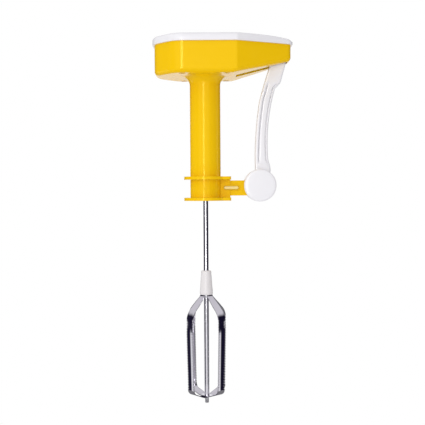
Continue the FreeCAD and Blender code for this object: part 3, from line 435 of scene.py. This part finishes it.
def lid_cover():
    """White lid: rounded skirt, crowned top that rolls down at the front, hollow below, four bosses."""
    low, high = (Vector(corner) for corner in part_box("lid"))
    rim = 356.0 * MM
    side, back, front = high.y, low.x, high.x
    half_back, half_front = 14.9 * MM, 11.7 * MM
    rear, fore = -29.8 * MM, 31.5 * MM
    near = [(back, -half_back), (rear, -side), (fore, -side), (front, -half_front)]
    corners = near + [(x, -y) for x, y in reversed(near)]
    radii = [21 * MM, 21 * MM, 6.8 * MM, 8.6 * MM, 8.6 * MM, 6.8 * MM, 21 * MM, 21 * MM]
    edge, outward = rounded_outline(corners, radii)
    line = np.array([tuple(point) for point in edge])
    skirt, round_edge = 2.6 * MM, 3.0 * MM
    crown_drop, crown_reach = 2.5 * MM, 9 * MM
    roll_start, roll_drop = 46 * MM, 4.6 * MM

    def inset(place):
        """Distance from a place to the outline."""
        start, run = line, np.roll(line, -1, axis=0) - line
        share = np.clip(((np.array(place) - start) * run).sum(1) / (run ** 2).sum(1), 0, 1)
        return float(np.sqrt(((start + run * share[:, None] - np.array(place)) ** 2).sum(1)).min())

    def top(place):
        """Height of the lid's top above a place."""
        depth = inset(place)
        drop = crown_drop * math.exp(-depth / crown_reach)
        if depth < round_edge:
            drop += round_edge - math.sqrt(round_edge ** 2 - (round_edge - depth) ** 2)
        along = min(1.0, max(0.0, (place[0] - roll_start) / (front + 1 * MM - roll_start)))
        drop += roll_drop * (1 - math.sqrt(1 - along ** 2))
        return max(high.z - drop, rim + skirt)

    def ring(depth, height=None, lower=0.0):
        """The outline moved inwards, at a given height or on the crown."""
        places = [point - normal * depth for point, normal in zip(edge, outward)]
        return [(p.x, p.y, (top(p) if height is None else height) - lower) for p in places]

    def inner_ring(share, lower=0.0):
        """A ring on the crown, part of the way from the edge to the lid's long middle."""
        places = [(point - normal * 4 * MM).lerp(Vector((point.x * 0.62, 0)), share)
                  for point, normal in zip(edge, outward)]
        return [(p.x, p.y, top(p) - lower) for p in places]

    wall = 1.7 * MM
    shares = (0.94, 0.8, 0.65, 0.5, 0.36, 0.22, 0.1)
    rings = [inner_ring(share, wall) for share in shares]
    rings += [ring(4 * MM, lower=wall), ring(2.9 * MM, lower=2.2 * wall), ring(2.9 * MM, rim)]
    rings += [ring(0.35 * MM, rim), ring(0.1 * MM, rim + 0.1 * MM), ring(0, rim + 0.35 * MM)]
    rings.append(ring(0, rim + skirt))
    rings += [ring(depth * MM) for depth in (0.06, 0.22, 0.5, 0.9, 1.5, 2.2, 3.0, 4.0)]
    rings += [inner_ring(share) for share in reversed(shares)]
    shells = [skin(rings)]
    boss_x, boss_y, boss_top = 21.5 * MM, 29.0 * MM, high.z - 3.2 * MM
    hole, outside = 1.4 * MM, 3.6 * MM
    boss = [(hole, low.z), (outside, low.z), (outside, boss_top), (hole, boss_top)]
    for x in (-boss_x, boss_x):
        for y in (-boss_y, boss_y):
            shells.append(lathe(boss, (x, y, 0), count=32, closed=True))
    cover = linked("lid_cover", mesh_of("lid_cover", shells))
    settle(cover, WHITE, "head_and_handle", "white_plastic", "lid")


# ---------------------------------------------------------------- lever

def lever_place(along, across, depth=0.0):
    """A point in the lever's own directions: from pivot to tip, outwards, and across the lever."""
    tilt = math.radians(9.01)
    up, out = Vector((math.sin(tilt), 0, math.cos(tilt))), Vector((math.cos(tilt), 0, -math.sin(tilt)))
    return PIVOT + up * along + out * across + Vector((0, depth, 0))


def bow(first, middle, last, along):
    """Height at a distance of the circle through three points."""
    (x1, y1), (x2, y2), (x3, y3) = first, middle, last
    scale = 2 * (x1 * (y2 - y3) + x2 * (y3 - y1) + x3 * (y1 - y2))
    squares = [x * x + y * y for x, y in (first, middle, last)]
    cx = (squares[0] * (y2 - y3) + squares[1] * (y3 - y1) + squares[2] * (y1 - y2)) / scale
    cy = (squares[0] * (x3 - x2) + squares[1] * (x1 - x3) + squares[2] * (x2 - x1)) / scale
    radius = math.hypot(x1 - cx, y1 - cy)
    lift = math.sqrt(max(radius ** 2 - (along - cx) ** 2, 0.0))
    return cy + math.copysign(lift, y2 - cy)


def smooth(value, start, stop):
    """0 before start, 1 after stop, with a soft rise between."""
    share = min(1.0, max(0.0, (value - start) / (stop - start)))
    return share * share * (3 - 2 * share)


def limb_edges(along):
    """Inner and outer edge of the limb at a distance from the pivot, in millimetres."""
    if along < 83:
        inner = bow((11, -6.3), (44, -11.2), (83, -13.2), along)
    else:
        inner = bow((83, -13.2), (99, -11.3), (124, -7.4), along)
    outer = bow((11, 8.7), (85, -0.9), (97, 0.2), min(along, 97))
    outer += 4.8 * smooth(along, 96, 105) + 1.9 * smooth(along, 104, 124)
    outer += 1.3 * smooth(along, 12, 17) * (1 - smooth(along, 20, 27))
    return inner, outer


def limb_section(along, half):
    """Ring round the limb: rounded edges, and on both sides a sunk panel between two grooves."""
    inner, outer = limb_edges(along)
    sunk = smooth(along, 20, 25) * (1 - smooth(along, 98, 103))
    groove, panel, lip = 1.9 * sunk, 0.45 * sunk, 0.6 * sunk
    side = [(inner, 1.5), (inner + 0.12, 0.8), (inner + 0.5, 0.25), (inner + 1.3, 0.0),
            (inner + 2.8, 0.0), (inner + 3.05, 0.15 * sunk), (inner + 3.2, groove), (inner + 3.9, groove),
            (inner + 4.1, lip), (inner + 4.5, panel), (outer - 3.1, panel), (outer - 2.8, lip),
            (outer - 2.6, groove), (outer - 2.0, groove), (outer - 1.85, 0.2 * sunk), (outer - 1.6, 0.1),
            (outer - 1.0, 0.12), (outer - 0.4, 0.5), (outer, 1.5)]
    near = [lever_place(along * MM, across * MM, (sink - half) * MM) for across, sink in side]
    far = [lever_place(along * MM, across * MM, (half - sink) * MM) for across, sink in reversed(side)]
    return near + far


def lever_arm():
    """White lever: limb with sunk panels, tongue for the rack, and two cheeks round the pivot."""
    half = 6.0
    stations = [11 + k * 1.5 for k in range(75)] + [123.1, 123.6, 123.9]
    rings = [limb_section(along, half - 0.9 * smooth(along, 122.6, 124.2)) for along in stations]
    arm = linked("lever_arm", mesh_of("lever_arm", [skin(rings)]))
    tongue = [[lever_place(along * MM, across * slim * MM, depth * 3.9 * MM)
               for across, depth in ((-1, -1), (1, -1), (1, 1), (-1, 1))]
              for along, slim in ((118, 2.3), (126, 2.3), (128.5, 2.2))]
    cut_or_join(arm, [skin(tongue)], "UNION")
    tip = [(2.5, -4.0), (3.0, -3.5), (3.0, 3.5), (2.5, 4.0)]
    cut_or_join(arm, [turned(tip, lever_place(130.2 * MM, 0), (0, 1, 0), count=40)], "UNION")
    radius, wide, soft = 15.4, 9.2, 0.8
    rim = soft_corner((radius - soft, soft - wide), soft, -90, 0)
    rim += soft_corner((radius - soft, wide - soft), soft, 0, 90)
    drum = [(2.5, -wide), *rim, (2.5, wide)]
    cut_or_join(arm, [turned(drum, PIVOT, (0, 1, 0), count=96, closed=True)], "UNION")
    reach, gap_half, gap_top = 18 * MM, 6.8 * MM, 9.4 * MM
    low = (PIVOT.x - reach, -gap_half, PIVOT.z - reach)
    high = (PIVOT.x + reach, gap_half, PIVOT.z + gap_top)
    cut_or_join(arm, [box_shell(low, high)], "DIFFERENCE")
    finish_mesh(arm.data, 38)
    settle(arm, WHITE, "squeeze_lever", "white_plastic", "lever")
    peg_x, peg_z = PIVOT.x + 5.87 * MM, PIVOT.z + 6.5 * MM
    peg = turned([(1.3, 4.8), (1.3, 7.0)], (peg_x, 0, peg_z), (0, 1, 0), count=24)
    settle(linked("lever_peg", mesh_of("lever_peg", [peg])), WHITE, "squeeze_lever", "white_plastic")


def pivot_covers():
    """Softly domed disc over each cheek, with a rounded rim and a shallow ring."""
    rim, base, top = 16.0, 9.2, 12.8
    profile = [(0.3, base), (rim - 0.7, base), *soft_corner((rim - 0.7, 9.9), 0.7, -90, 0), (rim, 10.7),
               *soft_corner((rim - 1.3, 10.7), 1.3, 0, 68, 7)]
    edge_radius, edge_height = profile[-1]
    crown = [(edge_radius * math.cos(a), edge_height + (top - edge_height) * math.sin(a))
             for a in (math.radians(90 * k / 14) for k in range(1, 14))]
    profile += crown + [(0.3, top)]
    for name, node, way in (("near_cover", "near_cap", -1), ("far_cover", "far_cap", 1)):
        shape = turned(profile, PIVOT, (0, way, 0), count=96)
        settle(linked(name, mesh_of(name, [shape])), WHITE, "squeeze_lever", "white_plastic", node)


def slot_bead():
    """Smooth bead along the bottom of the long slot in the collar's arm, below the slot's rim, in pale yellow
    that is a painted highlight.
    """
    back, front, level = 19.8, 31.2, 215.8
    rings = []
    for radius, depth in ((1.65, -1.9), (1.65, -2.8), (1.5, -3.1), (1.15, -3.35), (0.7, -3.45)):
        ends = [(back, 90 + 15 * k) for k in range(13)] + [(front, -90 + 15 * k) for k in range(13)]
        rings.append([((x + radius * math.cos(math.radians(a))) * MM, depth * MM,
                       (level + radius * math.sin(math.radians(a))) * MM) for x, a in ends])
    bead = linked("slot_bead", mesh_of("slot_bead", [skin(rings)]))
    settle(bead, PAINTED_HIGHLIGHT_YELLOW, "head_and_handle", "yellow_plastic")


def tube_along(route, radius, count=12):
    """A round wire along a route, its section carried from point to point without twist."""
    rings = []
    side = None
    for k, place in enumerate(route):
        ahead = (route[min(k + 1, len(route) - 1)] - route[max(k - 1, 0)]).normalized()
        if side is None:
            side = ahead.orthogonal().normalized()
        else:
            side = (side - ahead * side.dot(ahead)).normalized()
        other = ahead.cross(side)
        rings.append([place + (side * math.cos(a) + other * math.sin(a)) * radius
                      for a in (2 * math.pi * i / count for i in range(count))])
    return skin(rings)


def coil_spring():
    """Torsion spring that winds up between its leg on the collar's arm and its leg on the lever."""
    wire_radius, coil, pitch, turns, count = 0.45 * MM, 4.1 * MM, 1.0 * MM, 2.25, 40
    start_y = 3.6 * MM
    ring = []
    for k in range(int(turns * count) + 1):
        angle = 2 * math.pi * k / count
        offset = Vector((coil * math.sin(angle), start_y + pitch * k / count, -coil * math.cos(angle)))
        ring.append(PIVOT + offset)
    lower = [ring[0] - Vector((1.5 * MM * k, 0, 0)) for k in range(8, 0, -1)]
    upper = [ring[-1] + Vector((0, 0, 1.0 * MM * k)) for k in range(1, 9)]
    drawn_wire = tube_along(lower + ring + upper, wire_radius)
    spring = linked("coil_spring", mesh_of("coil_spring", [drawn_wire], 60))
    spring.data.materials.append(SPRING)
    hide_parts("return_spring")
    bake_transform(spring)


# ---------------------------------------------------------------- beater

STRAP_THICK = 0.9


def strap_route():
    """Corners and bend radii of half a strap's middle line in its own plane, from the foot to the tab."""
    half = STRAP_THICK / 2
    foot, tab = 6.1 + half, 3.6 + half
    corners = [(0, foot), (6.9, foot), (20.75 - half, 12.1), (22.85 - half, 90.0),
               (tab + 1.1, 107.4), (tab, 113.5)]
    radii = (5.0, 5.2, 15.0, 2.0)
    return [Vector(corner) for corner in corners], radii


def bent_line(corners, radii, pitch):
    """Points along straight runs joined by tangent arcs, about one pitch apart."""
    line, start = [], corners[0]
    for before, corner, after, radius in zip(corners, corners[1:], corners[2:], radii):
        arrive, leave = (before - corner).normalized(), (after - corner).normalized()
        half = arrive.angle(leave) / 2
        back = radius / math.tan(half)
        centre = corner + (arrive + leave).normalized() * (radius / math.sin(half))
        line += even_steps(start, corner + arrive * back, pitch)
        first, last = corner + arrive * back - centre, corner + leave * back - centre
        sweep = first.angle_signed(last)
        parts = max(4, round(abs(sweep) * radius / pitch))
        for k in range(parts):
            line.append(centre + Matrix.Rotation(-sweep * k / parts, 2) @ first)
        start = corner + leave * back
    line += even_steps(start, corners[-1], pitch) + [corners[-1]]
    return line


def even_steps(start, stop, pitch):
    """Points from start up to, but without, stop."""
    parts = max(1, round((stop - start).length / pitch))
    return [start.lerp(stop, k / parts) for k in range(parts)]


def strap_width(height, outward):
    """Half width of a strap: full on the blades, saw-toothed between two heights, slimmer at the hub."""
    full, depth, tooth = 4.5, 0.85, 2.65
    first, last = 16.5, 85.5
    if first < height < last and outward:
        phase = (height - first) / tooth % 1
        rise = smooth(phase, 0.05, 0.4) - smooth(phase, 0.7, 0.95)
        return full - depth * (1 - rise)
    slim = smooth(height, 97.0, 107.0)
    return full - 1.0 * slim - 1.7 * smooth(height, 108.3, 109.0)


def blade_strap(name, lift, turn, node):
    """One strap of the cage: toothed blades, slightly hollowed across, that cross under the shaft."""
    hollow_radius, edge_round, blades_from = 20.0, 0.14, 12
    corners, radii = strap_route()
    corners[0].y += lift
    corners[1].y += lift
    half = bent_line(corners, radii, 0.38)
    line = [Vector((-p.x, p.y)) for p in reversed(half[1:])] + half
    swing = Matrix.Rotation(math.radians(turn), 3, "Z")
    columns = [-1 + k / 4 for k in range(9)]
    rings = []
    for k, place in enumerate(line):
        ahead = (line[min(k + 1, len(line) - 1)] - line[max(k - 1, 0)]).normalized()
        out = Vector((ahead.y, -ahead.x))
        wide = strap_width(place.y, abs(place.x) > blades_from)
        curve = smooth(place.y, 9.0, 15.0) * (1 - smooth(place.y, 72.0, 80.0))
        upper, lower = [], []
        for share in columns:
            across = wide * share
            rounding = edge_round if abs(share) == 1 else 0.0
            for side, row in ((1, upper), (-1, lower)):
                level = side * (STRAP_THICK / 2 - rounding) + curve * across ** 2 / (2 * hollow_radius)
                row.append((place + out * level, across))
        loop = upper + lower[::-1]
        rings.append([swing @ Vector((p.x, across, p.y)) * MM for p, across in loop])
    strap = linked(name, mesh_of(name, [skin(rings)], 45))
    settle(strap, STRIP, "beater", "strap_steel", node)


def hub_and_ferrule():
    """White cone that holds the straps, with softened edges, and the bright ferrule at the tip."""
    bore, low, high = 2.45, 109.0, 133.0
    cone = [(bore, low + 0.4), (bore + 0.4, low), *soft_corner((6.0, low + 0.5), 0.5, -90, 0),
            (6.42, low + 4.6), (6.3, low + 5.2), (5.05, high - 1.4),
            *soft_corner((4.2, high - 0.75), 0.75, 15, 90), (bore, high)]
    hub = linked("strap_hub", mesh_of("strap_hub", [turned(cone, closed=True)]))
    settle(hub, IVORY, "beater", "hub_plastic", "beater_hub")
    cup = [(0.2, 0.0), *soft_corner((1.45, 0.45), 0.45, -90, 0), (1.9, 0.45), (1.9, 5.9), (1.7, 6.1),
           (0.2, 6.1)]
    tip = linked("tip_cup", mesh_of("tip_cup", [turned(cup, count=48)]))
    settle(tip, DRAWN, "beater", "bright_steel", "tip_ferrule")


# ---------------------------------------------------------------- studio and camera

SOFT_LEFT, SOFT_RIGHT = (0.86, 0.86, 0.87, 1), (0.58, 0.575, 0.59, 1)
DARK_LEFT, DARK_RIGHT = (0.014, 0.011, 0.032, 1), (0.008, 0.006, 0.022, 1)
FRONT_GLOW, BACK_GLOW = (0.86, 0.86, 0.88, 1), (0.95, 0.95, 0.97, 1)
TOP_GLOW, PLAIN_WHITE = (0.72, 0.71, 0.74, 1), (1, 1, 1, 1)
FLOOR_IN_GLOSS = (0.12, 0.12, 0.13, 1)


def direction_share(tree, socket, start, stop):
    """How far a direction's part lies between two limits, from 0 to 1."""
    return wire(tree, "ShaderNodeMapRange", {"Value": socket, "From Min": start, "From Max": stop},
                interpolation_type="SMOOTHSTEP").outputs[0]


def surround():
    """Light tent: white to the eye, dark sides and pale cards in reflections, less light from the right."""
    world = bpy.data.worlds.new("light_tent")
    bpy.context.scene.world = world
    world.use_nodes = True
    tree = world.node_tree
    tree.nodes.clear()
    toward = tree.nodes.new("ShaderNodeTexCoord").outputs["Generated"]
    parts = wire(tree, "ShaderNodeSeparateXYZ", {0: toward}).outputs
    right = direction_share(tree, parts["X"], -0.6, 0.6)
    left_end = direction_share(tree, parts["X"], -0.85, -0.65)
    right_end = direction_share(tree, parts["X"], 0.58, 0.42)
    facing = direction_share(tree, parts["Y"], 0.1, -0.1)
    front = product(tree, left_end, right_end, facing)
    behind = math_node(tree, "ADD", parts["Y"], product(tree, parts["X"], 0.08))
    level = math_node(tree, "ABSOLUTE", parts["Z"])
    mirrored = blended(tree, right, DARK_LEFT, DARK_RIGHT)
    mirrored = blended(tree, front, mirrored, FRONT_GLOW)
    near_end = direction_share(tree, behind, 0.05, 0.2)
    far_end = direction_share(tree, behind, 0.46, 0.36)
    low = direction_share(tree, parts["Z"], -0.17, -0.21)
    faint = product(tree, direction_share(tree, parts["Z"], -0.08, -0.11), 0.3)
    card = product(tree, near_end, far_end, math_node(tree, "MAXIMUM", low, faint))
    backs = math_node(tree, "MAXIMUM", card, direction_share(tree, parts["Y"], 0.9, 0.95))
    mirrored = blended(tree, backs, mirrored, BACK_GLOW)
    mirrored = blended(tree, direction_share(tree, level, 0.3, 0.6), mirrored, TOP_GLOW)
    shading = blended(tree, right, SOFT_LEFT, SOFT_RIGHT)
    path = tree.nodes.new("ShaderNodeLightPath").outputs
    seen = blended(tree, path["Is Glossy Ray"], shading, mirrored)
    plain = blended(tree, path["Is Camera Ray"], seen, PLAIN_WHITE)
    glow = wire(tree, "ShaderNodeBackground", {"Color": plain, "Strength": 1.0})
    wire(tree, "ShaderNodeOutputWorld", {"Surface": glow.outputs[0]})


def studio():
    """Pale floor, the light tent and two soft lamps."""
    surround()
    material, tree, shader = blank("pale_floor")
    drift = placed(tree, DRIFT, Colour=(0.9, 0.9, 0.9, 1), Drift=0.02, Scale=2.0)["Colour"]
    path = tree.nodes.new("ShaderNodeLightPath").outputs
    shade = blended(tree, path["Is Glossy Ray"], drift, FLOOR_IN_GLOSS)
    tree.links.new(shade, shader.inputs["Base Color"])
    shader.inputs["Roughness"].default_value = 0.9
    shader.inputs["Emission Color"].default_value = PLAIN_WHITE
    strength = share_of(tree, path["Is Camera Ray"], 0.0, 1.0, 0.12, 0.65)
    tree.links.new(strength, shader.inputs["Emission Strength"])
    reach, floor_low, thick = 1.1, -0.35, 0.02
    low, high = (-reach, -reach, floor_low - thick), (reach, reach, floor_low)
    floor = linked("studio_floor", mesh_of("studio_floor", [box_shell(low, high)]))
    floor.data.materials.append(material)
    aim = Vector((0.01, 0, 0.22))
    for name, place, power, wide, tall in (("key_strip", (-0.24, -1.2, 0.35), 3.4, 0.14, 0.8),
                                           ("top_fill", (-0.5, -0.7, 1.1), 1.0, 0.6, 0.6)):
        lamp = bpy.data.lights.new(name, "AREA")
        lamp.shape = "RECTANGLE"
        lamp.energy, lamp.size, lamp.size_y = power, wide, tall
        thing = bpy.data.objects.new(name, lamp)
        thing.location = place
        thing.rotation_euler = (aim - Vector(place)).to_track_quat("-Z", "Y").to_euler()
        bpy.context.scene.collection.objects.link(thing)


def camera():
    """Camera level with the collar, looking along +Y and a little down, with a slight roll."""
    sensor, distance, seen_wide = 36.0, 0.825, 0.425
    down, roll = 1.56, -0.37
    lens = bpy.data.cameras.new("camera")
    lens.sensor_width = sensor
    lens.lens = sensor * distance / seen_wide
    eye = bpy.data.objects.new("camera", lens)
    eye.location = (0.0067, -distance, 0.2136)
    eye.rotation_mode = "QUATERNION"
    level = Matrix.Rotation(math.radians(90 - down), 4, "X") @ Matrix.Rotation(math.radians(roll), 4, "Z")
    eye.rotation_quaternion = level.to_quaternion()
    bpy.context.scene.collection.objects.link(eye)
    bpy.context.scene.camera = eye
    bpy.context.scene.view_settings.view_transform = "Standard"


# ---------------------------------------------------------------- making

dress_frame()
lid_cover()
lever_arm()
pivot_covers()
slot_bead()
coil_spring()
blade_strap("first_blade_strap", 0.0, 42.5, "lower_blade_strap")
blade_strap("second_blade_strap", 0.9, 132.5, "upper_blade_strap")
hub_and_ferrule()
studio()
camera()
